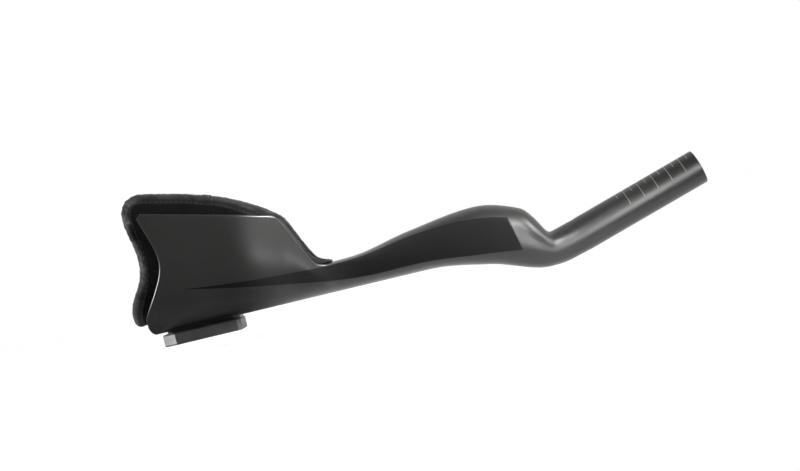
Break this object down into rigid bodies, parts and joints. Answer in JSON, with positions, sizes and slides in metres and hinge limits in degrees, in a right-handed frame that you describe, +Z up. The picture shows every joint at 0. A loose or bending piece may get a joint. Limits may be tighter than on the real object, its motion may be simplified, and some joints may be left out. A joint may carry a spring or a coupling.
{
  "type": "aero handlebar extension",
  "caption": "Carbon time-trial handlebar extension: a padded forearm cradle runs forward into a palm hump and an upturned round tube, on a bolted spacer plate.",
  "frame": {"origin": "middle of the bolt pattern on the spacer plate's underside, the face that is bolted to a riser", "axes": "+X forward along the extension towards the tube's open end, +Y to the rider's left, +Z up out of the plate"},
  "size_m": [0.3685, 0.097, 0.1023],
  "materials": {
    "carbon_laminate": "satin clear coat over unidirectional carbon laminate",
    "pad_fabric": "matt knitted cover over foam",
    "binding_tape": "ribbed woven edging",
    "hook_tape": "matt hook tape",
    "anodised_aluminium": "grey anodised, satin",
    "screw_steel": "black oxide"
  },
  "bodies": {
    "root": {"extension_shell": "carbon_laminate", "arm_pad": "pad_fabric", "pad_binding": "binding_tape", "hook_tape_floor": "hook_tape", "hook_tape_left": "hook_tape", "hook_tape_right": "hook_tape", "spacer_plate": "anodised_aluminium", "plate_screws": "screw_steel"}
  },
  "joints": []
}
